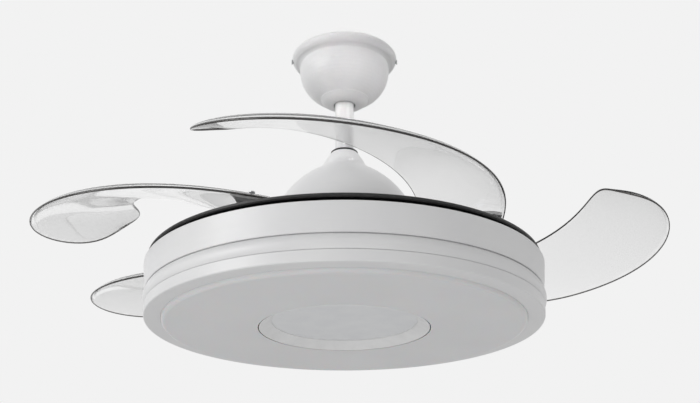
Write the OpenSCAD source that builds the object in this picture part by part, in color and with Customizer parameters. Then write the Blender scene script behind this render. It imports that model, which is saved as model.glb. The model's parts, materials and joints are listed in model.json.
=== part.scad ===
// Ceiling fan with four clear blades that fold in over a round lamp.
// Millimetres. +Z is up, and the origin is on the ceiling, over the middle of the fan.

/* [Overall] */
// Radius of the lamp drum
drum_r = 250; // [220:1:300]
// Length of the down rod
rod_len = 153; // [120:1:400]
// Height of the lamp drum
lamp_h = 67.4; // [60:0.1:90]

/* [Ceiling cup and bracket] */
// Radius of the cup at the ceiling
canopy_r = 72.5; // [66:0.1:90]
// Height of the cup
canopy_h = 69; // [69:0.5:100]
// Wall of the cup
canopy_wall = 1.2; // [0.8:0.1:2]
// Distance between the two ceiling slots
slot_span = 100; // [96:1:104]
// Length of a ceiling slot
slot_len = 18; // [12:1:20]
// Width of a ceiling slot
slot_w = 5.2; // [4.2:0.1:6.5]
// Thickness of the bracket's steel
bracket_t = 3; // [2:0.1:4]
// Width of the bracket's plate
bracket_w = 40; // [30:1:46]
// Radius of the hanger ball
ball_r = 22; // [19:0.5:24]
// Depth of the ball's centre below the ceiling
ball_z = 46; // [42:1:46]

/* [Down rod] */
// Radius of the rod
rod_r = 12.5; // [10:0.1:13.5]
// Wall of the rod
rod_wall = 2; // [1.2:0.1:3]
// Depth of the rod's top below the ceiling
rod_top = 30; // [28:1:32]

/* [Motor] */
// Radius of the domed cover
cover_r = 97; // [90:1:105]
// Height of the domed cover
cover_h = 129; // [126:1:140]
// Wall of the domed cover
cover_wall = 1.5; // [1:0.1:2.5]
// Radius of the rotor
rotor_r = 70; // [60:1:76]
// Radius of the fixed shaft
shaft_r = 8.5; // [7:0.5:10]
// Radius of the bore through the shaft
shaft_bore = 5; // [3:0.5:5.5]
// Radius of a ball bearing
bearing_r = 20; // [18:0.5:22]
// Height of a ball bearing
bearing_h = 12; // [10:1:14]
// Number of stator teeth
teeth = 12; // [9:3:18]

/* [Blade carrier] */
// Thickness of the black plate
plate_t = 4.6; // [3:0.1:6]
// Gap between the plate and the lamp
lamp_gap = 5.7; // [5:0.1:10]
// Distance from the drum's edge in to the blade pivots
pivot_in = 60; // [55:1:65]
// Direction of the first pivot, in degrees from +X
pivot_az = 61; // [0:1:90]
// Radius of a pivot stud
stud_r = 5; // [4:0.5:6]

/* [Blades] */
// Thickness of a blade
blade_t = 2.6; // [2:0.1:4]
// Rise of the blade's crown over its edges
blade_crown = 9; // [0:1:10]
// How far the first blade stands open, in degrees
open_1 = 64; // [0:1:112]
// How far the second blade stands open, in degrees
open_2 = 111; // [0:1:112]
// How far the third blade stands open, in degrees
open_3 = 50; // [0:1:112]
// How far the fourth blade stands open, in degrees
open_4 = 32; // [0:1:112]

/* [Lamp] */
// Wall of the drum
drum_wall = 2.5; // [1.5:0.1:4]
// Width of the bottom ring's foot
foot_w = 21; // [12:1:22]
// Radius of the opening for the centre lens
eye_r = 107.5; // [95:0.5:120]
// Radius of the centre lens
lens_r = 93.5; // [80:0.5:94]
// Depth of the lamp space, from the light plate to the bottom edge
led_depth = 40; // [34:1:42]

/* [Hidden] */
$fn = 96;
eps = 0.01;

// Clearances: a running fit, a push fit, a seat and an open gap
run = 0.06;
fit = 0.05;
seat = 0.3;

// Depths from the ceiling down, as heights
ball_c = -ball_z;
rod_bot = -rod_top - rod_len;
dome_top = rod_bot + 12;
gasket_h = 3;
coupling_h = 20;
coupling_top = dome_top + coupling_h;
plate_top = dome_top - cover_h - 10.3;
plate_bot = plate_top - plate_t;
lamp_top = plate_bot - lamp_gap;
lamp_bot = lamp_top - lamp_h;

// Radii round the ball's seat
seat_r = ball_r + seat;
seat_out = ball_r + 10;
seat_hole = rod_r + 3.5;
cover_hole = rod_r + 2.5;

// Screw sizes: shank radius, head radius, head height
m4 = [2, 3.5, 2.2];
m5 = [2.5, 4.2, 2.6];

// ---- curves and walls ----

// Arc from p to q that stands out by bulge on the side of growing radius
function arc(p, q, bulge, n = 10) =
    abs(bulge) < eps ? [p, q] :
    let (c = norm(q - p), d = (q - p) / c, side = [-d.y, d.x],
        r = c * c / (8 * bulge) + bulge / 2,
        half = asin(c / 2 / abs(r)) * sign(bulge),
        centre = (p + q) / 2 - side * (r - bulge))
    [for (i = [0:n]) let (a = half * (2 * i / n - 1))
        centre + r * (side * cos(a) + d * sin(a))];

// A line of points moved sideways by w, square to its own run
function beside(pts, w) =
    [for (i = [0:len(pts) - 1])
        let (a = pts[max(i - 1, 0)], b = pts[min(i + 1, len(pts) - 1)], t = (b - a) / norm(b - a))
        pts[i] + [-t.y, t.x] * -w];

function backwards(list) = [for (i = [len(list) - 1:-1:0]) list[i]];

// Radius of a profile at a height
function radius_at(pts, z) = lookup(z, [for (p = backwards(pts)) [p.y, p.x]]);

// Square ring on its side: r0 to r1, z0 to z1
module band(r0, r1, z0, z1) {
    translate([r0, z0]) square([r1 - r0, z1 - z0]);
}

module tube(r0, r1, z0, z1) {
    rotate_extrude() band(r0, r1, z0, z1);
}

module rod(r, z0, z1) {
    translate([0, 0, z0]) cylinder(r = r, h = z1 - z0);
}

module around(n, r, start = 0) {
    for (i = [0:n - 1]) rotate(start + i * 360 / n) translate([r, 0, 0]) children();
}

// Pan-head screw that hangs from z down by len, its head above
module screw(size, z, len) {
    rod(size[0] - fit, z - len, z);
    rod(size[1], z, z + size[2]);
}

// ---- ceiling fixing ----

// Outline of the cup from its top edge down: rounded shoulder, narrow lip, then the bowl
shoulder = 7;
lip_z = -14.5;
canopy_mouth = canopy_r * 0.46;
canopy_line = concat(
    arc([canopy_r - shoulder, 0], [canopy_r, -shoulder], shoulder * 0.29, 6),
    [for (i = [1:4]) arc([canopy_r, -shoulder], [canopy_r - 5.5, lip_z], 0.9, 4)[i]],
    [for (i = [1:3]) arc([canopy_r - 5.5, lip_z], [canopy_r - 11.5, lip_z - 3.6], -0.7, 4)[i]],
    arc([canopy_r - 11.5, lip_z - 3.6], [canopy_mouth, -canopy_h], 9.5, 12));
side_screw_z = -9;
tab_w = 16;
tab_low = side_screw_z - 3.5;
tab_x = sqrt(pow(radius_at(canopy_line, tab_low) - canopy_wall - 2 * seat, 2) - pow(tab_w / 2, 2));
plate_end = canopy_r - shoulder - canopy_wall - seat;
head_x = canopy_r + fit;
low_head = [m4[0], m4[1], 0.9];

module ceiling_bracket() {
    elbow = -4.5;
    color("silver") difference() {
        union() {
            // plate with its ends rounded to the cup
            translate([0, 0, -bracket_t]) linear_extrude(bracket_t) intersection() {
                square([2 * plate_end, bracket_w], center = true);
                circle(r = plate_end);
            }
            // side tabs for the cup's screws, bent out to its wall
            for (s = [0, 180]) rotate(s) rotate([90, 0, 0]) translate([0, 0, -tab_w / 2])
                linear_extrude(tab_w) polygon([[plate_end - 6, -eps], [plate_end - 1, -eps], [tab_x, elbow],
                    [tab_x, tab_low], [tab_x - bracket_t, tab_low], [tab_x - bracket_t, elbow - 1.2]]);
        }
        // ceiling slots
        for (s = [-1, 1]) translate([s * slot_span / 2, 0, -bracket_t - 1]) linear_extrude(bracket_t + 2) {
            square([slot_len - slot_w, slot_w], center = true);
            for (e = [-1, 1]) translate([e * (slot_len - slot_w) / 2, 0]) circle(d = slot_w);
        }
        // holes for the cup's screws
        translate([-tab_x - 1, 0, side_screw_z]) rotate([0, 90, 0]) cylinder(r = m4[0], h = 2 * tab_x + 2);
        // earth screw hole
        translate([0, bracket_w / 2 - 6, -bracket_t - 1]) cylinder(r = m4[0], h = bracket_t + 2);
    }
}

// Cradle that the hanger ball sits in, riveted under the plate
module ball_cradle() {
    arm_top = -bracket_t - fit;
    arm_low = ball_c - 12;
    color("silver") difference() {
        union() {
            for (s = [-1, 1]) {
                translate([s * (seat_out - bracket_t / 2), 0, (arm_top + arm_low) / 2])
                    cube([bracket_t, 18, arm_top - arm_low], center = true);
                // feet turned in against the plate
                translate([s * (seat_out - 5), 0, arm_top - 1]) cube([10, 18, 2], center = true);
            }
            rotate_extrude() difference() {
                band(seat_hole, seat_out, ball_c - 20, ball_c - 4);
                translate([0, ball_c]) circle(r = seat_r);
            }
            // key that stops the ball from turning
            translate([-2, -seat_r - 2, ball_c - 10]) cube([4, 4.5, 5]);
        }
        // side way in for the rod
        translate([-rod_r - 1, 0, ball_c - 21]) cube([2 * rod_r + 2, seat_out + 1, 18]);
    }
}

module canopy() {
    color("gainsboro") difference() {
        rotate_extrude() polygon(concat(canopy_line, backwards(beside(canopy_line, canopy_wall))));
        translate([-canopy_r, 0, side_screw_z]) rotate([0, 90, 0])
            cylinder(r = m4[0] + 0.3, h = 2 * canopy_r);
    }
}

module canopy_screws() {
    color("white") for (s = [0, 180]) rotate(s) translate([head_x, 0, side_screw_z])
        rotate([0, 90, 0]) screw(low_head, 0, head_x - tab_x + bracket_t + 2);
}

module canopy_cover() {
    mouth = [canopy_mouth, -canopy_h];
    outer = arc([cover_hole, -canopy_h - 8.5], mouth, -2.6);
    lip_r = canopy_mouth - canopy_wall * 1.4;
    color("gainsboro") rotate_extrude() {
        polygon(concat(outer, backwards([for (p = outer) [p.x, min(p.y + 1.6, -canopy_h)]])));
        band(lip_r - 1.5, lip_r, -canopy_h - 1.5, -canopy_h + 2.2);
        band(lip_r - 1.5, canopy_mouth, -canopy_h - 1, -canopy_h - fit);
    }
}

module terminal_block() {
    size = [30, 17, 12];
    color("whitesmoke") difference() {
        translate([-size.x / 2, -size.y / 2, -bracket_t - size.z]) cube(size);
        for (i = [-1:1]) translate([i * 9, 0, -bracket_t - size.z]) {
            cylinder(r = 2.6, h = 5, center = true);
            translate([0, 0, size.z / 2]) rotate([90, 0, 0]) cylinder(r = 2, h = size.y + 1, center = true);
        }
    }
}

// ---- rod and coupling ----

pin_z = ball_c + 8;
pin_r = 2.5;
yoke_pin_z = rod_bot + 18;
yoke_pin_r = 3;
yoke_r = rod_r + 6;
flange_r = yoke_r + 8;
yoke_top = rod_bot + 26;
yoke_bot = rod_bot - 29;
shaft_top = rod_bot - 4;

module hanger_ball() {
    color("dimgray") difference() {
        translate([0, 0, ball_c]) intersection() {
            sphere(r = ball_r);
            cube([2 * ball_r + 2, 2 * ball_r + 2, 2 * (ball_z - rod_top) - 2], center = true);
        }
        rod(rod_r + fit, ball_c - ball_r, 0);
        translate([-ball_r - 1, 0, pin_z]) rotate([0, 90, 0]) cylinder(r = pin_r + fit, h = 2 * ball_r + 2);
        // keyway
        translate([-2.5, -ball_r - 1, ball_c - ball_r]) cube([5, 3.7, 2 * ball_r]);
    }
}

module ball_pin() {
    reach = sqrt(ball_r * ball_r - pow(pin_z - ball_c, 2)) - 1;
    color("silver") translate([-reach, 0, pin_z]) rotate([0, 90, 0]) cylinder(r = pin_r, h = 2 * reach);
}

module down_rod() {
    color("whitesmoke") difference() {
        tube(rod_r - rod_wall, rod_r, rod_bot, -rod_top);
        translate([-rod_r - 1, 0, pin_z]) rotate([0, 90, 0]) cylinder(r = pin_r + fit, h = 2 * rod_r + 2);
        translate([0, rod_r + 1, yoke_pin_z]) rotate([90, 0, 0])
            cylinder(r = yoke_pin_r + fit, h = 2 * rod_r + 2);
    }
}

module gasket_ring() {
    r0 = rod_r + fit;
    r1 = rod_r + 5.6;
    color("#181818") rotate_extrude() polygon([[r0, coupling_top], [r1 - 0.6, coupling_top],
        [r1, coupling_top + 0.6], [r1, coupling_top + gasket_h - 0.9], [r1 - 0.9, coupling_top + gasket_h],
        [r0, coupling_top + gasket_h]]);
}

module coupling_cover() {
    wall = 1.5;
    foot = yoke_r + 10.5;
    outer = concat([[rod_r + 5.5, coupling_top]],
        arc([yoke_r + 4.5, coupling_top - 7.4], [foot, dome_top], 0.6, 6));
    color("gainsboro") rotate_extrude() polygon(concat([[rod_r + 0.4, coupling_top]], outer,
        [[foot - wall, dome_top], [yoke_r + 3, coupling_top - 8], [rod_r + 4.2, coupling_top - wall],
            [rod_r + 0.4, coupling_top - wall]]));
}

module rod_yoke() {
    color("silver") difference() {
        rotate_extrude() {
            band(shaft_r + fit, yoke_r, yoke_bot, yoke_top);
            band(shaft_r + fit, flange_r, dome_top - cover_wall - 3, dome_top - cover_wall);
        }
        rod(rod_r + fit, rod_bot - 2, yoke_top + 1);
        translate([0, flange_r, yoke_pin_z]) rotate([90, 0, 0])
            cylinder(r = yoke_pin_r + fit, h = 2 * flange_r);
        for (z = [rod_bot + 4, rod_bot - 16]) translate([-flange_r, 0, z]) rotate([0, 90, 0])
            cylinder(r = m5[0], h = 2 * flange_r);
        around(3, yoke_r + 4.2) rod(m4[0] - 0.1, dome_top - 10, dome_top);
    }
}

module yoke_pin() {
    // clevis pin with its head and its split ring
    color("silver") translate([0, 0, yoke_pin_z]) rotate([90, 0, 0]) {
        rod(yoke_pin_r, -yoke_r - 2.6, yoke_r + 0.2);
        rod(yoke_pin_r + 1.4, yoke_r + 0.2, yoke_r + 1.8);
        translate([0, 0, -yoke_r - 1.4]) rotate_extrude()
            translate([yoke_pin_r, 0]) circle(r = 0.7, $fn = 16);
    }
}

module yoke_screws() {
    color("dimgray") for (s = [0, 180]) rotate(s) {
        translate([rod_r + fit, 0, rod_bot + 4]) rotate([0, 90, 0]) cylinder(r = m5[0] - fit, h = 5);
        translate([shaft_r + fit, 0, rod_bot - 16]) rotate([0, 90, 0]) cylinder(r = m5[0] - fit, h = 8);
    }
}

// ---- motor ----

cover_low = dome_top - cover_h;
dome_foot = yoke_r + 24;
dome_line = concat([[yoke_r + 0.4, dome_top], [yoke_r + 11, dome_top]],
    arc([yoke_r + 12, dome_top - 0.4], [dome_foot, dome_top - 10.5], -1, 5),
    [for (i = [1:12]) arc([dome_foot, dome_top - 10.5], [cover_r, dome_top - 86], 9.5, 12)[i]],
    [[cover_r, cover_low]]);
stator_z = dome_top - 88.5;
bearing_1 = dome_top - 64;
bearing_2 = dome_top - 118;
shaft_bot = lamp_top - 15;
shaft_step = lamp_top + 1.6;
thread_r = shaft_r - 1.5;
seat_shaft_r = shaft_r + 2.5;
rotor_top = bearing_1 + 10;
rotor_mid = rotor_top - 34;
rotor_bot = rotor_top - 65;
rotor_rim = 6;
flange_out = rotor_r - 4;
plate_screw_r = rotor_r - 15;
shaft_run = 0.03;

module motor_cover() {
    color("lightgray") difference() {
        rotate_extrude() polygon(concat(dome_line, backwards(beside(dome_line, cover_wall))));
        around(3, yoke_r + 4.2) rod(m4[0], dome_top - 5, dome_top + 1);
    }
}

module cover_screws() {
    color("silver") around(3, yoke_r + 4.2) screw([m4[0] - 0.1, 3, 2], dome_top + fit, 5);
}

module motor_shaft() {
    color("silver") rotate_extrude() {
        band(shaft_bore, shaft_r, shaft_step, shaft_top);
        band(shaft_bore, seat_shaft_r, bearing_2 + bearing_h / 2 + 2, bearing_1 - bearing_h / 2 - 2);
        band(shaft_bore, thread_r, shaft_bot, shaft_step);
    }
}

core_r = rotor_r - 10;
core_h = 25;
tooth_w = 108 / teeth;

module stator_core() {
    color("dimgray") translate([0, 0, stator_z - core_h / 2]) linear_extrude(core_h) difference() {
        union() {
            circle(r = seat_shaft_r + 15);
            around(teeth, core_r / 2) square([core_r - 6, tooth_w], center = true);
            difference() {
                circle(r = core_r);
                circle(r = core_r - 4.5);
            }
        }
        circle(r = seat_shaft_r + fit);
        around(teeth, core_r, 180 / teeth) square([14, 4], center = true);
    }
}

module stator_windings() {
    root = seat_shaft_r + 18;
    crown = core_r - 6;
    half_root = root * tan(180 / teeth) - 0.5;
    half_crown = crown * tan(180 / teeth) - 3;
    color("peru") for (i = [0:teeth - 1]) rotate(i * 360 / teeth) difference() {
        translate([0, 0, stator_z - core_h / 2 - 7]) linear_extrude(core_h + 14)
            polygon([[root, -half_root], [crown, -half_crown], [crown, half_crown], [root, half_root]]);
        translate([core_r / 2, 0, stator_z]) cube([core_r, tooth_w + 0.4, core_h + 0.4], center = true);
    }
}

module bearing(z) {
    color("silver") rotate_extrude() difference() {
        band(shaft_r + shaft_run, bearing_r, z - bearing_h / 2, z + bearing_h / 2);
        for (s = [-1, 1]) translate([(shaft_r + bearing_r) / 2, z + s * bearing_h / 2])
            square([(bearing_r - shaft_r) / 3, 1.6], center = true);
    }
}

module bearing_upper() bearing(bearing_1);
module bearing_lower() bearing(bearing_2);

module rotor_upper_shell() {
    hub = bearing_r + fit;
    color("lightslategray") difference() {
        rotate_extrude() {
            band(shaft_r + 4, rotor_r, rotor_top - 3, rotor_top);
            band(hub, hub + 5, bearing_1 - bearing_h / 2, rotor_top - 1);
            band(shaft_r + 4, hub + 5, bearing_1 + bearing_h / 2 + fit, rotor_top);
            band(rotor_r - rotor_rim, rotor_r, rotor_mid, rotor_top - 1);
        }
        around(6, rotor_r - rotor_rim / 2) rod(1.9, rotor_mid - 1, rotor_top + 1);
        // air holes
        around(8, (rotor_r + hub) / 2, 22.5) rod(6, rotor_top - 4, rotor_top + 1);
    }
}

module rotor_lower_shell() {
    hub = bearing_r + fit;
    color("lightslategray") difference() {
        rotate_extrude() {
            band(rotor_r - rotor_rim, rotor_r, rotor_bot + 1, rotor_mid);
            band(hub, rotor_r, rotor_bot, rotor_bot + 3);
            band(hub, hub + 5, bearing_2 - bearing_h / 2 - 3, bearing_2 + bearing_h / 2 + 1);
            band(shaft_r + 4, hub + 5, bearing_2 - bearing_h / 2 - 3, bearing_2 - bearing_h / 2 - fit);
            band(hub + 6, hub + 11, plate_top + 1, rotor_bot + 1);
            band(hub + 6, flange_out, plate_top, plate_top + 4);
        }
        around(6, rotor_r - rotor_rim / 2) rod(1.9, rotor_mid - 18, rotor_mid + 1);
        around(6, plate_screw_r, 30) rod(m5[0], plate_top - 1, plate_top + 5);
        around(8, (rotor_r + hub) / 2 + 4, 22.5) rod(5, rotor_bot - 1, rotor_bot + 4);
    }
}

module rotor_magnets() {
    r1 = rotor_r - rotor_rim - fit;
    color("#3a3a3e") translate([0, 0, stator_z - 14.5]) linear_extrude(29) difference() {
        circle(r = r1);
        circle(r = core_r + 0.6);
        around(20, r1) square([20, 0.8], center = true);
    }
}

module rotor_screws() {
    color("silver") around(6, rotor_r - rotor_rim / 2) screw([1.85, 3, 2.2], rotor_top, 48);
}

// ---- blade carrier ----

pivot_r = drum_r - pivot_in;
plate_r = drum_r - 0.5;
boss_r = stud_r + 9;
open_max = 112;
opens = [open_1, open_2, open_3, open_4];
boss_low = 0.9;
boss_seat = 13;
clip_h = 1.2;
lug = [8, 10, 3.6];
lug_r = boss_r + 6.5;
lug_az = 150;
stop_r = 3.5;
stop_turn = asin((lug.x / 2 + stop_r + 0.5) / lug_r);
spring_wire = 0.8;
spring_sides = 12;
spring_r = (boss_r + seat + spring_wire) / cos(180 / spring_sides);
spring_turns = 3.5;
spring_pitch = 2.4;
spring_low = 6;
post_r = 2;

module at_pivot(i) {
    rotate(pivot_az + 90 * i) translate([pivot_r, 0, plate_top]) children();
}

module blade_plate() {
    color("#1a1a1a") difference() {
        rotate_extrude() polygon([[shaft_r + 5.5, plate_top], [plate_r - 1, plate_top],
            [plate_r, plate_top - 1], [plate_r, plate_bot + 1.5], [plate_r - 1.5, plate_bot],
            [shaft_r + 5.5, plate_bot]]);
        around(6, plate_screw_r, 30) rod(m5[0], plate_bot - 1, plate_top + 1);
        for (i = [0:3]) at_pivot(i) rod(stud_r + fit, -plate_t - 1, 1);
    }
}

module plate_screws() {
    color("silver") around(6, plate_screw_r, 30) screw(m5, plate_top + 4 + fit, 9.5);
}

module pivot_studs() {
    color("silver") for (i = [0:3]) at_pivot(i) {
        rotate_extrude() {
            band(0, stud_r, -plate_t - 2, boss_seat + 2.6);
            band(0, stud_r + 2, -plate_t - 2, -plate_t);
            band(0, stud_r + 3, 0, boss_low - 0.2);
            band(stud_r - 1, stud_r + 2.6, boss_seat + 0.1, boss_seat + 0.1 + clip_h);
        }
        // post that holds the spring's leg
        rotate(spring_az) translate([spring_r + spring_wire + post_r + 0.1, 1.5 - leg_len, 0])
            rod(post_r, 0, spring_low + 3);
    }
}

module blade_stops() {
    color("#222222") for (i = [0:3]) at_pivot(i)
        for (a = [lug_az - stop_turn, lug_az + open_max + stop_turn])
            rotate(a) translate([lug_r, 0, 0]) rod(stop_r, 0, spring_low - 1);
}

// Coil of the return spring: a straight leg out to the post, then its turns
spring_az = 40;
leg_len = 16;
coil_steps = spring_turns * spring_sides;
coil = concat(
    [[spring_r, -leg_len, 0], [spring_r, -2 * spring_wire, 0]],
    [for (k = [0:coil_steps]) let (a = k * 360 / spring_sides)
        [spring_r * cos(a), spring_r * sin(a), k * spring_pitch / spring_sides]]);
coil_gap = spring_pitch - 2 * spring_wire;
echo(least_gap_of_spring = coil_gap);

// Tube of six sides along a line of points
module wire(pts, r) {
    sides = 6;
    n = len(pts);
    rings = [for (i = [0:n - 1])
        let (t = (pts[min(i + 1, n - 1)] - pts[max(i - 1, 0)]), d = t / norm(t),
            u = cross([0, 0, 1], d) / norm(cross([0, 0, 1], d)), v = cross(d, u))
        for (k = [0:sides - 1]) pts[i] + r * (u * cos(k * 360 / sides) + v * sin(k * 360 / sides))];
    polyhedron(rings, concat(
        [[for (k = [sides - 1:-1:0]) k]],
        [[for (k = [0:sides - 1]) (n - 1) * sides + k]],
        [for (i = [0:n - 2]) for (k = [0:sides - 1]) let (a = i * sides + k, b = i * sides + (k + 1) % sides)
            each [[a, b, b + sides], [a, b + sides, a + sides]]]));
}

module return_springs() {
    color("slategray") for (i = [0:3]) at_pivot(i) rotate(spring_az) translate([0, 0, spring_low])
        wire(coil, spring_wire);
}

// ---- blades ----

// A folded blade lies in the ring between the motor cover and the drum's edge. A place in the ring
// is an angle behind the blade's pivot and a share, 0 at the inside of the ring and 1 at its outside.
fold_in = cover_r + 8;
fold_out = drum_r - 3;

// Outline: the outer edge leaves the root narrow and swells to the drum's edge, the inner edge
// hugs the motor cover, and both round off into the tip
tip_turn = 140;
root_slant = -15;
tip_share = 0.41;
outer_share = 1.01;
inner_share = 0.05;
neck_in = 0.25;
neck_turn = 70;
squareness = 4;

// Height over the plate: the inner edge climbs evenly, so that each blade lies over the next, and
// the outer edge stays low over the drum and lifts towards the tip
inner_low = 31;
inner_rise = 84;
outer_low = 16;
outer_rise = 46;
lift_power = 1.8;

stations = 30;

// Quarter of a squared-off ellipse, evenly stepped: how far along and how far out at x from 0 to 1
function quarter(x) =
    let (a = pow(x, squareness / 2), b = pow(1 - x, squareness / 2), t = 90 * a / (a + b))
    [pow(sin(t), 2 / squareness), pow(cos(t), 2 / squareness)];

// Point of the blade at an angle behind the pivot and a share of the ring, seen from the pivot
function ring_point(turn, share) =
    let (r = fold_in + (fold_out - fold_in) * share, k = turn / tip_turn,
        inner_z = inner_low + inner_rise * k, outer_z = outer_low + outer_rise * pow(max(0, k), lift_power))
    [r * cos(turn) - pivot_r, -r * sin(turn), inner_z + (outer_z - inner_z) * share];

function neck(turn) = neck_in * pow(cos(90 * min(1, turn / neck_turn)), 2);
outer_rim = [for (j = [0:stations]) let (q = quarter(j / stations), turn = tip_turn * q.x)
    ring_point(turn, tip_share + (outer_share - tip_share) * q.y - neck(turn))];
inner_rim = [for (j = [0:stations]) let (q = quarter(j / stations))
    ring_point(root_slant + (tip_turn - root_slant) * q.x, tip_share - (tip_share - inner_share) * q.y)];

// Places across the blade, and its crown there
across = [0, 0.04, 0.12, 0.26, 0.46, 0.72, 1];
function crown(w, chord) = blade_crown * min(1, chord / 150) * sin(180 * pow(w, 0.6));
function sheet(j, w) = let (o = outer_rim[j], i = inner_rim[j])
    o + (i - o) * w + [0, 0, crown(w, norm(i - o))];

// Closed slab whose top is the blade's surface moved by up, thick deep
module slab(j0, j1, w0, w1, up, thick) {
    nw = w1 - w0 + 1;
    tip = j1 == stations ? 1 : 0;
    rows = j1 - j0 + 1 - tip;
    top = [for (j = [j0:j1 - tip]) for (w = [w0:w1]) sheet(j, across[w]) + [0, 0, up]];
    tops = tip == 1 ? concat(top, [sheet(j1, 0) + [0, 0, up]]) : top;
    n = len(tops);
    pts = concat(tops, [for (p = tops) p - [0, 0, thick]]);
    quads = [for (j = [0:rows - 2]) for (w = [0:nw - 2]) let (a = j * nw + w)
        each [[a, a + nw, a + 1], [a + 1, a + nw, a + nw + 1]]];
    fan = tip == 0 ? [] : [for (w = [0:nw - 2]) let (a = (rows - 1) * nw + w) [a, n - 1, a + 1]];
    faces = concat(quads, fan);
    loop = concat([for (w = [nw - 1:-1:0]) w], [for (j = [1:rows - 1]) j * nw],
        tip == 0 ? [for (w = [1:nw - 1]) (rows - 1) * nw + w] : [n - 1],
        [for (j = [rows - 1 - (1 - tip):-1:1]) j * nw + nw - 1]);
    m = len(loop);
    polyhedron(pts, concat(faces, [for (f = faces) [f[2] + n, f[1] + n, f[0] + n]],
        [for (k = [0:m - 1]) let (a = loop[k], b = loop[(k + 1) % m])
            each [[a, a + n, b], [b, a + n, b + n]]]));
}

// Holder pad under the root, by rows and places across, and its screws
pad_rows = 2;
pad_t = 4;
screw_spots = [[1, 2], [1, 3]];

module in_blade(i) {
    at_pivot(i) rotate(opens[i]) children();
}

module blade(i) {
    color("lightsteelblue", 0.5) in_blade(i) difference() {
        slab(0, stations, 0, len(across) - 1, 0, blade_t);
        for (s = screw_spots) translate(sheet(s[0], across[s[1]]))
            cylinder(r = m4[0] + 0.3, h = 30, center = true);
    }
}

module blade_holder(i) {
    color("white") in_blade(i) difference() {
        union() {
            rod(boss_r, boss_low, sheet(0, 0.1).z - blade_t - 1);
            rotate(lug_az) translate([boss_r - 2, -lug.x / 2, boss_low]) cube([lug.y, lug.x, lug.z]);
            slab(0, pad_rows, 1, 4, -blade_t - fit, pad_t);
        }
        rod(stud_r + run, 0, 40);
        rod(stud_r + 4, boss_seat, 40);
        for (s = screw_spots) translate(sheet(s[0], across[s[1]])) cylinder(r = m4[0], h = 30, center = true);
    }
}

module blade_screws(i) {
    color("silver") in_blade(i) for (s = screw_spots) translate(sheet(s[0], across[s[1]]))
        screw([m4[0], 3.6, 1.4], 0.9, blade_t + pad_t);
}

module blade_1() blade(0);
module blade_2() blade(1);
module blade_3() blade(2);
module blade_4() blade(3);
module blade_holder_1() blade_holder(0);
module blade_holder_2() blade_holder(1);
module blade_holder_3() blade_holder(2);
module blade_holder_4() blade_holder(3);
module blade_screws_1() blade_screws(0);
module blade_screws_2() blade_screws(1);
module blade_screws_3() blade_screws(2);
module blade_screws_4() blade_screws(3);

// ---- lamp, built up from its bottom edge ----

ledge = 5.4;
base_t = 1.5;
sleeve_r = drum_r - 3.5;
sleeve_wall = 2.5;
groove_z = 32.6;
groove_h = 1.2;
ring_z = 13.8;
sleeve_low = 7;
led_z = led_depth;
led_t = 1.5;
post_circle = 150;
foot_in = drum_r - foot_w;
rim_screw_r = drum_r - 3.5;
lens_z = 5;
holder_z = 8.3;

module lamp() {
    translate([0, 0, lamp_bot]) children();
}

module lamp_housing() {
    top = lamp_h;
    w = drum_wall;
    color("gainsboro") lamp() difference() {
        rotate_extrude() polygon([
            [drum_r + 1, top], [drum_r + 3, top], [drum_r + 3.5, top - 0.5],
            [drum_r + 2, top - 21.4], [drum_r + 0.2, groove_z + 0.6], [drum_r - 0.4, groove_z],
            [sleeve_r, groove_z], [sleeve_r, sleeve_low], [sleeve_r - sleeve_wall, sleeve_low],
            [sleeve_r - sleeve_wall, groove_z + w], [drum_r - w, groove_z + w], [drum_r + 2 - w, top - 22],
            [drum_r + 1, top - ledge - 2.5], [drum_r - 7, top - ledge - 2.5],
            [drum_r - 7, top - ledge], [drum_r + 1, top - ledge]]);
        around(6, rim_screw_r) rod(m4[0], top - ledge - 4, top);
    }
}

module trim_ring() {
    r0 = sleeve_r + seat;
    color("gainsboro") lamp() rotate_extrude() polygon(concat(
        [[r0, ring_z + seat], [drum_r - 0.3, ring_z + seat]],
        arc([drum_r + 0.3, ring_z + 0.9], [drum_r - 1, groove_z - groove_h], -3.1, 12),
        [[drum_r - 2.4, groove_z - groove_h], [drum_r - 2.4, groove_z - 0.2], [r0, groove_z - 0.2]]));
}

module lower_ring() {
    r0 = sleeve_r + seat;
    color("gainsboro") lamp() rotate_extrude() polygon(concat(
        [[foot_in, 2.5], [foot_in, 0]],
        arc([drum_r - 2, 0], [drum_r, 2], -0.6, 5),
        [[drum_r + 0.3, ring_z - 0.6], [drum_r - 0.3, ring_z], [r0, ring_z], [r0, 2.5]]));
}

module diffuser() {
    r = foot_in - 0.1;
    t = 2.5;
    low = -5;
    round_w = 7;
    collar = eye_r + 1.2;
    color("white") lamp() rotate_extrude() polygon(concat(
        [[collar, holder_z - seat], [collar, low]],
        arc([r - round_w, low], [r, 0], -1.8, 8),
        [[r, 2.5], [foot_in + 5, 2.5], [foot_in + 5, 4.5], [r - t, 4.5], [r - t, 0],
            [r - round_w, low + t], [collar + t - 0.2, low + t], [collar + t - 0.2, holder_z - seat]]));
}

module bezel() {
    wall = 2;
    low = -5;
    pocket = lens_r + 0.5;
    color("whitesmoke") lamp() rotate_extrude() polygon([
        [eye_r - wall, low + 0.5], [eye_r - wall / 2, low], [eye_r, low + 0.5], [eye_r - 1, low + wall + 1],
        [pocket + wall, lens_z - 1], [pocket + wall, holder_z - seat], [pocket, holder_z - seat],
        [pocket, lens_z], [lens_r - 1.5, lens_z], [lens_r - 1.5, lens_z - 1]]);
}

module centre_lens() {
    color("lightcyan", 0.5) lamp() tube(0, lens_r, lens_z, lens_z + 3);
}

module lens_holder() {
    color("lightgray") lamp() {
        tube(lens_r - 3.5, eye_r + 4.5, holder_z, holder_z + 2);
        around(3, eye_r - 4, 90) difference() {
            rod(5, holder_z + 1, led_z);
            rod(1.9, led_z - 12, led_z + 1);
        }
    }
}

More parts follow.
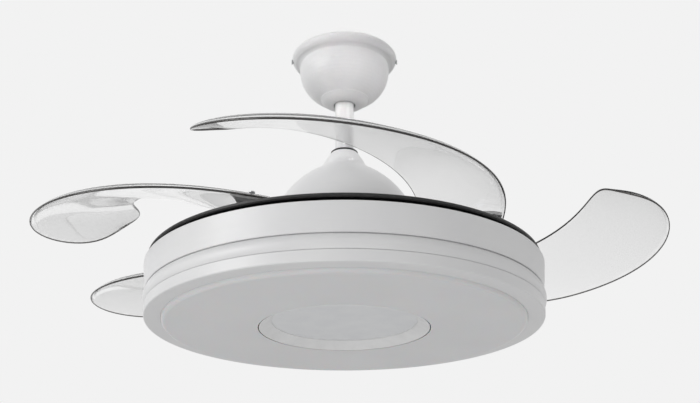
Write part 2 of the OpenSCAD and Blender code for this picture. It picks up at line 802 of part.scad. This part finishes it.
module led_plate() {
    color("silver") lamp() difference() {
        tube(0, drum_r - 25, led_z, led_z + led_t);
        around(4, post_circle, 45) rod(m4[0], led_z - 1, led_z + led_t + 1);
        around(3, eye_r - 4, 90) rod(m4[0], led_z - 1, led_z + led_t + 1);
        rod(thread_r + 3, led_z - 1, led_z + led_t + 1);
    }
}

board_in = eye_r + 22.5;
board_out = drum_r - 35;
board_t = 1.2;

module led_board() {
    color("white") lamp() difference() {
        tube(board_in, board_out, led_z - board_t, led_z);
        around(4, post_circle, 45) rod(m4[1] + 0.5, led_z - 3, led_z + 1);
    }
}

module centre_led_board() {
    color("white") lamp() tube(thread_r + 4, lens_r - 13.5, led_z - board_t, led_z);
}

module leds() {
    chip = [2.8, 2.8, 0.8];
    z = led_z - board_t - chip.z;
    color("khaki") lamp() {
        for (r = [board_in + 12, board_out - 12]) around(24, r, 7.5) translate([-1.4, -1.4, z]) cube(chip);
        for (k = [[6, 30], [12, 62]]) around(k[0], k[1]) translate([-1.4, -1.4, z]) cube(chip);
    }
}

module lamp_base() {
    top = lamp_h - ledge;
    color("silver") lamp() difference() {
        rotate_extrude() {
            band(thread_r + fit, drum_r, top, top + base_t);
            band(thread_r + fit, thread_r + 13, top, shaft_step - lamp_bot);
        }
        around(6, rim_screw_r) rod(m4[0], top - 1, top + base_t + 1);
    }
    color("silver") lamp() around(4, post_circle, 45) difference() {
        rod(5, led_z + led_t, top + base_t / 2);
        rod(m4[0] - 0.1, led_z, led_z + 14);
    }
}

module lamp_nut() {
    top = lamp_h - ledge;
    color("dimgray") lamp() difference() {
        union() {
            rod(thread_r + 7, top - 1.5, top - eps);
            translate([0, 0, top - 8]) cylinder(r = thread_r + 5, h = 6.5, $fn = 6);
        }
        rod(thread_r + fit, top - 10, top + 1);
    }
}

module case_box(size, cable_end) {
    difference() {
        cube(size, center = true);
        // lid line and cable mouth
        difference() {
            translate([0, 0, size.z / 2 - 2.5]) cube([size.x + 1, size.y + 1, 0.8], center = true);
            translate([0, 0, size.z / 2 - 2.5]) cube([size.x - 1, size.y - 1, 2], center = true);
        }
        translate([cable_end * size.x / 2, 0, 0]) cube([6, size.y * 0.4, size.z * 0.4], center = true);
    }
}

module led_driver() {
    room = lamp_h - ledge - led_z - led_t;
    color("whitesmoke") lamp() translate([-75, 75, led_z + led_t + room / 2]) rotate(45)
        case_box([110, 42, room - 0.6], 1);
}

module fan_controller() {
    room = lamp_h - ledge - led_z - led_t;
    color("white") lamp() translate([0, -99, led_z + led_t + room / 2])
        case_box([84, 48, room - 0.6], -1);
}

module lamp_rim_screws() {
    color("silver") lamp() around(6, rim_screw_r) screw(m4, lamp_h - ledge + base_t + fit, 8);
}

module led_plate_screws() {
    color("silver") lamp() {
        around(4, post_circle, 45) mirror([0, 0, 1]) screw([m4[0] - 0.15, 3.5, 2], -led_z + fit, 8);
        around(3, eye_r - 4, 90) screw([m4[0] - 0.15, 3.5, 2], led_z + led_t + fit, 9);
    }
}

ceiling_bracket();
ball_cradle();
canopy();
canopy_screws();
canopy_cover();
terminal_block();
hanger_ball();
ball_pin();
down_rod();
gasket_ring();
coupling_cover();
rod_yoke();
yoke_pin();
yoke_screws();
motor_cover();
cover_screws();
motor_shaft();
stator_core();
stator_windings();
rotor_upper_shell();
rotor_lower_shell();
rotor_magnets();
bearing_upper();
bearing_lower();
rotor_screws();
blade_plate();
plate_screws();
pivot_studs();
blade_stops();
return_springs();
blade_1();
blade_2();
blade_3();
blade_4();
blade_holder_1();
blade_holder_2();
blade_holder_3();
blade_holder_4();
blade_screws_1();
blade_screws_2();
blade_screws_3();
blade_screws_4();
lamp_base();
lamp_nut();
lamp_housing();
trim_ring();
lower_ring();
diffuser();
bezel();
centre_lens();
lens_holder();
led_plate();
led_board();
centre_led_board();
leds();
led_driver();
fan_controller();
lamp_rim_screws();
led_plate_screws();
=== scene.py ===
import json
import math

import bmesh
import bpy
import numpy as np
from mathutils import Matrix, Vector


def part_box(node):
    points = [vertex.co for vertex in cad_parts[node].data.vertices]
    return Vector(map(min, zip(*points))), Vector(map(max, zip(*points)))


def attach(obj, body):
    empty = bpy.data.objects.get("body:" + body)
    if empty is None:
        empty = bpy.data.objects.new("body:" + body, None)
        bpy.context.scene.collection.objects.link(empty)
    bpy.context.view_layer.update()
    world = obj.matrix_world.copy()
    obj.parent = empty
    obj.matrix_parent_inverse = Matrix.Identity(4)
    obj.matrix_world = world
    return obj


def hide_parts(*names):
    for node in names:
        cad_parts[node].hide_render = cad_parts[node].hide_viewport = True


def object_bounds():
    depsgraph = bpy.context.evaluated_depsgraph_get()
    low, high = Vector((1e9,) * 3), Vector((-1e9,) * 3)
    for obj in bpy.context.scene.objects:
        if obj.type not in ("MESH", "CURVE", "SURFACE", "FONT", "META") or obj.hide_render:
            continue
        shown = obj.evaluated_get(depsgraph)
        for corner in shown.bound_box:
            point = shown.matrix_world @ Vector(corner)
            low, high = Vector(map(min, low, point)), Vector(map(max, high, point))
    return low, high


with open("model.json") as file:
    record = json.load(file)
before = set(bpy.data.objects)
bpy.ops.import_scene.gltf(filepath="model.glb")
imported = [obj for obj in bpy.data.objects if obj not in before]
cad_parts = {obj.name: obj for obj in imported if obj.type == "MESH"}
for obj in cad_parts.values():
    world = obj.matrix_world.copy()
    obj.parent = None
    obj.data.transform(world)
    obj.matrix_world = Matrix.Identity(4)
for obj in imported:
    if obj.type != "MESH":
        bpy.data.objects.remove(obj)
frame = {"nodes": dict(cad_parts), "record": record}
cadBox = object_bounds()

print("stage: frame loaded,", len(frame["nodes"]), "nodes")
mm = 0.001


def linearColour(hexText):
    # sRGB hex to linear light: a straight toe, then the usual power curve
    srgb = np.array([int(hexText[i:i + 2], 16) for i in (1, 3, 5)]) / 255
    linear = np.where(srgb <= 0.04045, srgb / 12.92, ((srgb + 0.055) / 1.055) ** 2.4)
    return (*linear.tolist(), 1.0)


def addNode(tree, kind, inputs=None, **settings):
    # node with its settings; each input takes a link from a socket, or else a value of its own
    node = tree.nodes.new("ShaderNode" + kind)
    for name, value in settings.items():
        setattr(node, name, value)
    for name, value in (inputs or {}).items():
        if isinstance(value, bpy.types.NodeSocket):
            tree.links.new(value, node.inputs[name])
        else:
            node.inputs[name].default_value = value
    return node


cloudDetail, cloudRoughness = 2.0, 0.55  # finer clouds within a cloud, and how much they show
usualEdges = (0.3, 0.7)  # pattern values at which the first shade ends and the second begins


def patternOn(tree, place, pattern):
    # grey pattern in the piece's own space: a number kept on the mesh, cells, bands stacked up Z,
    # or as a rule clouds of about cloudMm, which stretch squeezes or draws out along an axis
    if "attribute" in pattern:
        return addNode(tree, "Attribute", attribute_name=pattern["attribute"]).outputs["Fac"]
    if "cellMm" in pattern:
        return addNode(tree, "TexVoronoi", {"Vector": place, "Scale": 1 / (pattern["cellMm"] * mm)},
                       feature="DISTANCE_TO_EDGE").outputs["Distance"]
    if "bandMm" in pattern:
        # a wave texture of scale 1 repeats every tenth of pi
        wave = {"Vector": place, "Scale": 0.1 * np.pi / (pattern["bandMm"] * mm),
                "Distortion": pattern["wander"], "Detail": pattern["detail"],
                "Detail Scale": pattern["detailScale"]}
        return addNode(tree, "TexWave", wave, bands_direction="Z").outputs["Fac"]
    mapped = addNode(tree, "Mapping", {"Vector": place, "Scale": pattern.get("stretch", (1, 1, 1))})
    cloud = {"Vector": mapped.outputs["Vector"], "Scale": 1 / (pattern["cloudMm"] * mm),
             "Detail": pattern.get("detail", cloudDetail), "Roughness": cloudRoughness}
    return addNode(tree, "TexNoise", cloud).outputs["Fac"]


def makeFinish(name, look):
    # surface whose constants stand on the shader's own sockets, with a pattern each for the colour
    # between two shades, the roughness between two values and the height of the relief
    material = bpy.data.materials.new(name)
    material.use_nodes = True
    tree = material.node_tree
    tree.nodes.clear()
    place = addNode(tree, "TexCoord").outputs["Object"]
    ramp = addNode(tree, "ValToRGB", {"Fac": patternOn(tree, place, look["shadePattern"])})
    edges = look.get("shadeEdges", usualEdges)
    for stop, edge, shade in zip(ramp.color_ramp.elements, edges, look["shades"]):
        stop.position, stop.color = edge, linearColour(shade)
    inputs = dict(look["surface"])
    inputs["Base Color"] = ramp.outputs["Color"]
    if "roughPattern" in look:
        ranged = {"Value": patternOn(tree, place, look["roughPattern"]),
                  "To Min": look["roughness"][0], "To Max": look["roughness"][1]}
        inputs["Roughness"] = addNode(tree, "MapRange", ranged).outputs["Result"]
    if "reliefPattern" in look:
        relief = {"Height": patternOn(tree, place, look["reliefPattern"]),
                  "Distance": look["reliefMm"] * mm, "Strength": 1.0}
        inputs["Normal"] = addNode(tree, "Bump", relief).outputs["Normal"]
    shader = addNode(tree, "BsdfPrincipled", inputs)
    addNode(tree, "OutputMaterial", {"Surface": shader.outputs["BSDF"]})
    return material


# finishes of the outside

# polyester powder coat on steel: satin white, with the faint orange peel that melted powder
# leaves. The real peel is under 1 mm across, and is drawn at 1.6 mm so that it shows.
powderCoatLook = {
    "surface": {"IOR": 1.5},
    "shades": ("#e0e0e1", "#e5e5e5"), "shadePattern": {"cloudMm": 55, "detail": 3},
    "roughness": (0.3, 0.4), "roughPattern": {"cloudMm": 9},
    "reliefMm": 0.02, "reliefPattern": {"cloudMm": 1.6},
}

# injection-moulded ABS: white, satin, from a lightly blasted mould that leaves an even fine grain,
# drawn at 1.1 mm where the real one is about 0.2 mm
mouldedAbsLook = {
    "surface": {"IOR": 1.53},
    "shades": ("#d4d4d5", "#d8d8d8"), "shadePattern": {"cloudMm": 80},
    "roughness": (0.34, 0.44), "roughPattern": {"cloudMm": 14},
    "reliefMm": 0.012, "reliefPattern": {"cloudMm": 1.1, "detail": 4},
}

# opal acrylic sheet, vacuum formed: light goes a few millimetres in and scatters, so its edges look
# soft, and the skin is smooth with a slow waviness
opalAcrylicLook = {
    "surface": {"IOR": 1.49, "Subsurface Weight": 0.25, "Subsurface Scale": 2.5 * mm},
    "shades": ("#cfcfd0", "#d3d3d4"), "shadePattern": {"cloudMm": 120, "detail": 1},
    "roughness": (0.27, 0.34), "roughPattern": {"cloudMm": 30},
    "reliefMm": 0.06, "reliefPattern": {"cloudMm": 45, "detail": 1},
}

# frosted polycarbonate lens: milky, letting a little light through, with a fine prismatic grain
frostedLensLook = {
    "surface": {"IOR": 1.5, "Transmission Weight": 0.08},
    "shades": ("#dcdddf", "#e1e2e3"), "shadePattern": {"cloudMm": 25},
    "roughness": (0.5, 0.62), "roughPattern": {"cloudMm": 2},
    "reliefMm": 0.05, "reliefPattern": {"cloudMm": 1.3, "detail": 3},
}

# clear cast acrylic, heat bent over a form: polished, its colour going from nearly white at the root to
# light grey at the tip, with slow waves in the skin that bend the highlights
clearAcrylicLook = {
    "surface": {"IOR": 1.49, "Transmission Weight": 1.0},
    "shades": ("#fcfcfc", "#d0d0d0"), "shadePattern": {"attribute": "alongBlade"}, "shadeEdges": (0.2, 1.0),
    "roughness": (0.03, 0.07), "roughPattern": {"cloudMm": 20, "detail": 3},
    "reliefMm": 0.03, "reliefPattern": {"cloudMm": 40, "detail": 1},
}

# sawn and flame-polished acrylic edge, coloured dark smoky grey as painted shade: light that enters a clear
# edge runs along the sheet and is lost, so the edge reads as a dark line
edgePaintedShadeLook = {
    "surface": {"IOR": 1.49, "Transmission Weight": 0.45},
    "shades": ("#2f2c2b", "#4a4745"), "shadePattern": {"cloudMm": 9, "detail": 3},
    "roughness": (0.12, 0.3), "roughPattern": {"cloudMm": 3},
    "reliefMm": 0.03, "reliefPattern": {"cloudMm": 1.5},
}

# black powder coat on the steel blade carrier: satin, with dust in the grain
blackPowderLook = {
    "surface": {"IOR": 1.5},
    "shades": ("#151515", "#232323"), "shadePattern": {"cloudMm": 7, "detail": 4},
    "roughness": (0.38, 0.55), "roughPattern": {"cloudMm": 10},
    "reliefMm": 0.03, "reliefPattern": {"cloudMm": 1.2, "detail": 3},
}

# moulded nitrile rubber: matt black with a dusty bloom
nitrileRubberLook = {
    "surface": {"IOR": 1.52},
    "shades": ("#121212", "#2a2a2a"), "shadePattern": {"cloudMm": 4, "detail": 4},
    "roughness": (0.62, 0.8), "roughPattern": {"cloudMm": 3},
    "reliefMm": 0.04, "reliefPattern": {"cloudMm": 0.8, "detail": 3},
}

# finishes of the inner pieces

# punched electrical steel sheets in a stack: fine dark lines 0.5 mm apart, drawn 2 mm apart
laminatedCoreLook = {
    "surface": {"Metallic": 0.9},
    "shades": ("#3c3c40", "#77777c"),
    "shadePattern": {"bandMm": 1.974, "wander": 0.2, "detail": 2.0, "detailScale": 1.0},
    "roughness": (0.35, 0.55), "roughPattern": {"cloudMm": 3},
    "reliefMm": 0.08,
    "reliefPattern": {"bandMm": 1.974, "wander": 0.2, "detail": 2.0, "detailScale": 1.0},
}

# enamelled copper wire wound round the teeth: strands 0.7 mm thick, drawn about 3 mm apart
copperWindingLook = {
    "surface": {"Metallic": 0.85},
    "shades": ("#6e2f16", "#c4733c"),
    "shadePattern": {"bandMm": 3.158, "wander": 1.2, "detail": 1.0, "detailScale": 2.0},
    "roughness": (0.22, 0.4), "roughPattern": {"cloudMm": 2},
    "reliefMm": 0.3,
    "reliefPattern": {"bandMm": 3.158, "wander": 1.2, "detail": 1.0, "detailScale": 2.0},
}

# aluminium-core board with white solder mask: broad copper lands show through as a faint relief
solderMaskLook = {
    "surface": {"IOR": 1.5},
    "shades": ("#cfcfca", "#eeeeea"), "shadePattern": {"cellMm": 14}, "shadeEdges": (0.02, 0.08),
    "roughness": (0.3, 0.42), "roughPattern": {"cloudMm": 4},
    "reliefMm": 0.04, "reliefPattern": {"cellMm": 14},
}

# light-emitting diode package: yellow phosphor gel
phosphorLook = {
    "surface": {"IOR": 1.52},
    "shades": ("#d9b53c", "#f0d878"), "shadePattern": {"cloudMm": 0.8},
    "roughness": (0.2, 0.35), "roughPattern": {"cloudMm": 1},
}


def mouldedLook(shades, roughness, grainMm=0.9):
    # moulded nylon, or another matt filled material: faint flow marks, and the mould's even grain
    # of about 0.2 mm, drawn at grainMm
    return {
        "surface": {"IOR": 1.52},
        "shades": shades, "shadePattern": {"cloudMm": 18, "detail": 3},
        "roughness": (roughness - 0.06, roughness + 0.08), "roughPattern": {"cloudMm": 5},
        "reliefMm": 0.03, "reliefPattern": {"cloudMm": grainMm, "detail": 4},
    }


def metalLook(shades, roughness, markMm, stretch=(1, 1, 1), depthMm=0.01):
    # bare or plated metal: the marks that rolling, turning or grinding left set both the roughness
    # and the relief. Real ones are under 0.3 mm wide, and are drawn at markMm so that they show.
    marks = {"cloudMm": markMm, "detail": 3, "stretch": stretch}
    return {
        "surface": {"Metallic": 1.0},
        "shades": shades, "shadePattern": {"cloudMm": 12, "detail": 4},
        "roughness": (roughness - 0.08, roughness + 0.12), "roughPattern": marks,
        "reliefMm": depthMm, "reliefPattern": marks,
    }


finishes = {
    "white_steel": makeFinish("satinPowderCoat", powderCoatLook),
    "white_abs": makeFinish("mouldedAbs", mouldedAbsLook),
    "opal_acrylic": makeFinish("opalAcrylic", opalAcrylicLook),
    "clear_lens": makeFinish("frostedPolycarbonate", frostedLensLook),
    "clear_acrylic": makeFinish("clearAcrylic", clearAcrylicLook),
    "black_rubber": makeFinish("nitrileRubber", nitrileRubberLook),
    "black_steel": makeFinish("blackPowderCoat", blackPowderLook),
    "core_steel": makeFinish("laminatedCore", laminatedCoreLook),
    "copper_wire": makeFinish("copperWinding", copperWindingLook),
    "white_board": makeFinish("whiteBoard", solderMaskLook),
    "led_chip": makeFinish("phosphorGel", phosphorLook),
    # moulded nylon: off-white and matt, a shade greyer and glossier on the holders, or dark grey
    "white_plastic": makeFinish("whiteNylon", mouldedLook(("#d6d6d6", "#dedede"), 0.46)),
    "holder_nylon": makeFinish("holderNylon", mouldedLook(("#c9c9c9", "#d6d6d6"), 0.4)),
    "grey_nylon": makeFinish("greyNylon", mouldedLook(("#47474a", "#58585b"), 0.5)),
    # pressed and sintered ferrite powder: near black, dull, with a fine sandy grain
    "magnet": makeFinish("sinteredFerrite", mouldedLook(("#2c2c31", "#43434a"), 0.6, 0.5)),
    # bright zinc plate on rolled steel sheet: light grey, with rolling marks drawn out along Y
    "zinc_steel": makeFinish("zincPlate", metalLook(("#9a9da0", "#c4c6c8"), 0.34, 2.5, (1, 0.15, 1))),
    # zinc plate on a cold-headed screw: a little darker, with small even marks
    "screw_steel": makeFinish("zincPlatedScrew", metalLook(("#8f9193", "#c0c2c3"), 0.3, 0.6)),
    # ground bearing steel: the brightest steel, with fine marks drawn out along the axis
    "bearing_steel": makeFinish("groundBearingSteel",
                                metalLook(("#a6a8aa", "#cfd0d2"), 0.2, 1.0, (1, 1, 0.1))),
    # drawn spring wire: bluish dark grey, with the die's fine lines round each coil
    "spring_steel": makeFinish("springWire", metalLook(("#6d7178", "#9b9fa6"), 0.32, 0.5, (1, 1, 4))),
    # cast aluminium: mid grey and dull, with a pebbled skin
    "cast_aluminium": makeFinish("castAluminium",
                                 metalLook(("#85888c", "#a9acb0"), 0.45, 1.4, depthMm=0.12)),
    # rolled aluminium sheet: pale, with long straight lines along X
    "sheet_aluminium": makeFinish("rolledAluminium",
                                  metalLook(("#c2c4c6", "#dadcdd"), 0.3, 3.0, (0.06, 1, 1))),
}
# dark painted shade for the blades' edge band, standing for the dark line along a clear acrylic edge
paintedShadeEdgeFinish = makeFinish("acrylicEdgePaintedShade", edgePaintedShadeLook)

slotOf = {part["node"]: part["material_slot"] for part in frame["record"]["subparts"]}
for nodeName, nodeObject in frame["nodes"].items():
    nodeObject.data.materials.clear()
    nodeObject.data.materials.append(finishes[slotOf[nodeName]])
print("stage: finishes set,", len(finishes))

# clear blades: the design of the part on a finer grid, with rounded edges

bladeShape = {
    # millimetres, degrees and shares: the ring that a folded blade lies in, the outline of the
    # blade in it, and the heights of its edges over the plate
    "foldIn": 105.0, "foldOut": 247.0, "pivotR": 190.0, "pivotTurn": 61.0, "open": (64, 111, 50, 32),
    "tipTurn": 140.0, "rootSlant": -15.0, "tipShare": 0.41, "outerShare": 1.01, "innerShare": 0.05,
    "neckIn": 0.25, "neckTurn": 70.0, "squareness": 4.0,
    "innerLow": 31.0, "innerRise": 84.0, "outerLow": 16.0, "outerRise": 46.0, "liftPower": 1.8,
    "thick": 2.6, "crown": 9.0, "fullCrownChord": 130.0, "crownSkew": 0.6,
    # trim keeps the rounded edge just inside the part's outline
    "edgeRound": 0.9, "trim": 0.6,
    "stations": 120, "stepsAcross": 36, "roundSteps": 8, "rootSteps": 24,
}


def roundedQuarter(share, squareness):
    # quarter of a squared-off ellipse, evenly stepped: how far along, and how far out
    a, b = share ** (squareness / 2), (1 - share) ** (squareness / 2)
    angle = 0.5 * np.pi * a / (a + b)
    return np.sin(angle) ** (2 / squareness), np.cos(angle).clip(0) ** (2 / squareness)


def ringPoint(turn, share, shape):
    # point at an angle behind the pivot and a share of the ring, seen from the pivot: the inner
    # edge climbs evenly, the outer edge lifts towards the tip, and the sheet runs between them
    along = turn / shape["tipTurn"]
    innerZ = shape["innerLow"] + shape["innerRise"] * along
    outerZ = shape["outerLow"] + shape["outerRise"] * along.clip(0) ** shape["liftPower"]
    radius = shape["foldIn"] + (shape["foldOut"] - shape["foldIn"]) * share
    angle = np.radians(turn)
    return np.stack([radius * np.cos(angle) - shape["pivotR"], -radius * np.sin(angle),
                     innerZ + (outerZ - innerZ) * share], 1)


def bladeRails(shape):
    # outer and inner edge from the root to the tip, where they meet: each is a rounded quarter in
    # the ring, and the outer one draws in at the neck by a squared cosine
    along, out = roundedQuarter(np.linspace(0, 1, shape["stations"] + 1), shape["squareness"])
    outerTurn = shape["tipTurn"] * along
    neck = shape["neckIn"] * np.cos(0.5 * np.pi * (outerTurn / shape["neckTurn"]).clip(0, 1)) ** 2
    outerShare = shape["tipShare"] + (shape["outerShare"] - shape["tipShare"]) * out - neck
    innerTurn = shape["rootSlant"] + (shape["tipTurn"] - shape["rootSlant"]) * along
    innerShare = shape["tipShare"] - (shape["tipShare"] - shape["innerShare"]) * out
    return ringPoint(outerTurn, outerShare, shape), ringPoint(innerTurn, innerShare, shape)


def gridFaces(rows, columns, start=0):
    # four-sided faces of a grid of rows by columns, whose points are numbered from start
    j, i = np.meshgrid(np.arange(rows - 1), np.arange(columns - 1), indexing="ij")
    corner = j * columns + i
    quads = np.stack([corner, corner + 1, corner + columns + 1, corner + columns], -1)
    return quads.reshape(-1, 4) + start


weldMm, sliverMm = 0.01, 0.005  # points closer than the first are one, edges under the second go


def meshPiece(name, points, faceGroups, materials, shares=None):
    # one mesh from a point array and one face array per material; shares is a number per point
    mesh = bpy.data.meshes.new(name)
    mesh.from_pydata(points.tolist(), [], np.vstack(faceGroups).tolist())
    if shares is not None:
        mesh.attributes.new("alongBlade", "FLOAT", "POINT").data.foreach_set("value", shares)
    slots = [np.full(len(faces), index, np.int32) for index, faces in enumerate(faceGroups)]
    mesh.polygons.foreach_set("material_index", np.concatenate(slots))
    for material in materials:
        mesh.materials.append(material)
    welded = bmesh.new()
    welded.from_mesh(mesh)
    bmesh.ops.remove_doubles(welded, verts=welded.verts, dist=weldMm * mm)
    bmesh.ops.dissolve_degenerate(welded, edges=welded.edges, dist=sliverMm * mm)
    bmesh.ops.recalc_face_normals(welded, faces=welded.faces)
    welded.to_mesh(mesh)
    welded.free()
    mesh.shade_smooth()
    piece = bpy.data.objects.new(name, mesh)
    bpy.context.scene.collection.objects.link(piece)
    return piece


def bladeSurface(shape):
    # the folded blade about its pivot, in mm: rails along both edges, drawn in by the edge's
    # rounding, a crowned sheet between them, and a half-round rim carried along the whole outline
    outerRail, innerRail = bladeRails(shape)
    rim = np.vstack([outerRail, innerRail[-2::-1]])
    rootShare = np.linspace(0, 1, shape["rootSteps"] + 1)[1:-1, None]
    root = rim[-1] + (rim[0] - rim[-1]) * rootShare
    outline = np.vstack([rim, root])

    # outward direction in plan: the run of the outline turned a quarter
    ahead, behind = np.roll(outline, -1, 0), np.roll(outline, 1, 0)
    run = ahead - behind
    outward = np.stack([run[:, 1], -run[:, 0], np.zeros(len(run))], 1)
    outward /= np.linalg.norm(outward, axis=1, keepdims=True)
    outward *= np.sign(np.sum(outline[:, 0] * ahead[:, 1] - ahead[:, 0] * outline[:, 1]))
    inset = outline - outward * (shape["edgeRound"] + shape["trim"])

    # sheet from rail to rail, raised by a sine whose top is pushed towards the outer edge
    half = (len(rim) - 1) // 2
    outer, inner = inset[:half + 1], inset[len(rim) - 1:half - 1:-1]
    across = np.linspace(0, 1, shape["stepsAcross"] + 1)[None, :, None]
    sheet = outer[:, None] + (inner - outer)[:, None] * across
    chord = np.linalg.norm(inner - outer, axis=1)[:, None]
    rise = shape["crown"] * np.minimum(1, chord / shape["fullCrownChord"])
    sheet[..., 2] += rise * np.sin(np.pi * across[..., 0] ** shape["crownSkew"])

    # the root's own edge follows the sheet's first row, crown included
    back = 1 - rootShare[:, 0]
    inset[len(rim):] = np.stack([np.interp(back, across[0, :, 0], sheet[0, :, n]) for n in range(3)], 1)

    # half circle from the top face round to the under face
    angle = np.linspace(0.5 * np.pi, -0.5 * np.pi, shape["roundSteps"] + 1)[None, :, None]
    swell = outward[:, None] * shape["edgeRound"] * np.cos(angle)
    drop = np.array([0, 0, shape["thick"] / 2]) * (np.sin(angle) - 1)
    band = inset[:, None] + swell + drop
    return sheet, sheet - np.array([0, 0, shape["thick"]]), band


def turnMatrix(angle):
    # turn about Z by an angle in radians
    return np.array([[np.cos(angle), -np.sin(angle), 0], [np.sin(angle), np.cos(angle), 0], [0, 0, 1]])


def placeBlade(points, index, shape):
    # folded blade to its place: turned open about the pivot, then to its quarter of the fan
    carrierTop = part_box("blade_plate")[1].z / mm
    opened, quarter = np.radians(shape["open"][index]), np.radians(shape["pivotTurn"] + 90 * index)
    moved = points @ turnMatrix(opened).T + np.array([shape["pivotR"], 0, 0])
    return (moved @ turnMatrix(quarter).T + np.array([0, 0, carrierTop])) * mm


topSheet, underSheet, edgeBand = bladeSurface(bladeShape)
edgeBand = np.concatenate([edgeBand, edgeBand[:1]])
rows, columns = topSheet.shape[:2]
sheetSize = rows * columns
sheetFaces = np.vstack([gridFaces(rows, columns), gridFaces(rows, columns, sheetSize)])
bandFaces = gridFaces(*edgeBand.shape[:2], 2 * sheetSize)
bladePoints = np.vstack([grid.reshape(-1, 3) for grid in (topSheet, underSheet, edgeBand)])
alongSheet = np.repeat(np.linspace(0, 1, rows), columns)
shares = np.concatenate([alongSheet, alongSheet, np.zeros(len(bladePoints) - 2 * sheetSize)])
for index in range(4):
    blade = meshPiece(f"clearBlade{index + 1}", placeBlade(bladePoints, index, bladeShape),
                      [sheetFaces, bandFaces], [finishes["clear_acrylic"], paintedShadeEdgeFinish], shares)
    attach(blade, f"blade_unit_{index + 1}")
    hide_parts(f"blade_{index + 1}")
print("stage: blades made")

# camera, light and floor

cameraLook = {"place": (0, -1.2762, -0.7408), "pitch": 22.23, "yaw": 0.33, "roll": -0.13,
              "lens": 53.68, "sensor": 36.0, "farEnd": 50}
lens = bpy.data.cameras.new("photoLens")
lens.lens, lens.sensor_width, lens.sensor_fit = cameraLook["lens"], cameraLook["sensor"], "HORIZONTAL"
lens.clip_end = cameraLook["farEnd"]
camera = bpy.data.objects.new("photoCamera", lens)
aim = (Matrix.Rotation(math.radians(-cameraLook["yaw"]), 4, "Z")
       @ Matrix.Rotation(math.radians(90 + cameraLook["pitch"]), 4, "X")
       @ Matrix.Rotation(math.radians(cameraLook["roll"]), 4, "Z"))
camera.matrix_world = Matrix.Translation(cameraLook["place"]) @ aim
bpy.context.scene.collection.objects.link(camera)
bpy.context.scene.camera = camera
bpy.context.scene.view_settings.view_transform = "Standard"

# what the eye sees directly or through clear acrylic is the plain backdrop, mirrors see a studio
# that is a little darker below than from the horizon up, and matt surfaces get an even light
studio = {"backdrop": "#f2f2f2", "evenLight": "#ffffff", "ambient": 0.57,
          "lowDirection": -0.8, "reflectLow": 0.85, "reflectHigh": 0.97}
world = bpy.data.worlds.new("studio")
world.use_nodes = True
bpy.context.scene.world = world
tree = world.node_tree
tree.nodes.clear()
path = addNode(tree, "LightPath").outputs
direct = addNode(tree, "Math", {0: path["Is Camera Ray"], 1: path["Is Transmission Ray"]},
                 operation="MAXIMUM")
direction = addNode(tree, "SeparateXYZ", {"Vector": addNode(tree, "TexCoord").outputs["Generated"]})
mirrored = addNode(tree, "MapRange", {"Value": direction.outputs["Z"],
                                      "From Min": studio["lowDirection"], "From Max": 0.0,
                                      "To Min": studio["reflectLow"], "To Max": studio["reflectHigh"]})
glow = addNode(tree, "Mix", {"Factor": path["Is Glossy Ray"], "A": studio["ambient"],
                             "B": mirrored.outputs["Result"]}, data_type="FLOAT")
room = addNode(tree, "Background", {"Color": linearColour(studio["evenLight"]),
                                    "Strength": glow.outputs["Result"]})
backdrop = addNode(tree, "Background", {"Color": linearColour(studio["backdrop"]), "Strength": 1.0})
both = addNode(tree, "MixShader", {0: direct.outputs[0], 1: room.outputs["Background"],
                                   2: backdrop.outputs["Background"]})
addNode(tree, "OutputWorld", {"Surface": both.outputs["Shader"]})

softboxes = {
    # metres, watts and degrees: a large one from the left, a weaker one from low in front, and a
    # small narrow one for the ceiling cup and the rod
    "keyLeft": {"place": (-2.6, -1.6, 0.1), "aim": (0, 0, -0.3), "size": (1.5, 1.6),
                "watts": 36.0, "spread": 180},
    "fillLow": {"place": (0.0, -1.8, -1.9), "aim": (0, 0, -0.3), "size": (1.6, 1.2),
                "watts": 9.5, "spread": 180},
    "cupSpot": {"place": (0.5, -1.7, -0.2), "aim": (0, 0, -0.09), "size": (0.1, 0.1),
                "watts": 0.035, "spread": 8},
}
for name, box in softboxes.items():
    light = bpy.data.lights.new(name, "AREA")
    light.shape, light.energy, light.spread = "RECTANGLE", box["watts"], math.radians(box["spread"])
    light.size, light.size_y = box["size"]
    holder = bpy.data.objects.new(name, light)
    holder.location = box["place"]
    holder.rotation_euler = (Vector(box["aim"]) - Vector(box["place"])).to_track_quat("-Z", "Y").to_euler()
    bpy.context.scene.collection.objects.link(holder)

# rolled vinyl studio floor: pale, matt and faintly clouded
floorLook = {
    "surface": {"Roughness": 0.8},
    "shades": ("#f2f2f2", "#f5f5f5"), "shadePattern": {"cloudMm": 400},
    "drop": 1.9, "size": 60.0,
}
floorZ = cadBox[0].z - floorLook["drop"]
corners = np.array([(-0.5, -0.5), (0.5, -0.5), (0.5, 0.5), (-0.5, 0.5)]) * floorLook["size"]
floorPoints = np.column_stack([corners, np.full(4, floorZ)])
floor = meshPiece("floor", floorPoints, [np.array([[0, 1, 2, 3]])], [makeFinish("paleFloor", floorLook)])
print("stage: camera and light set")
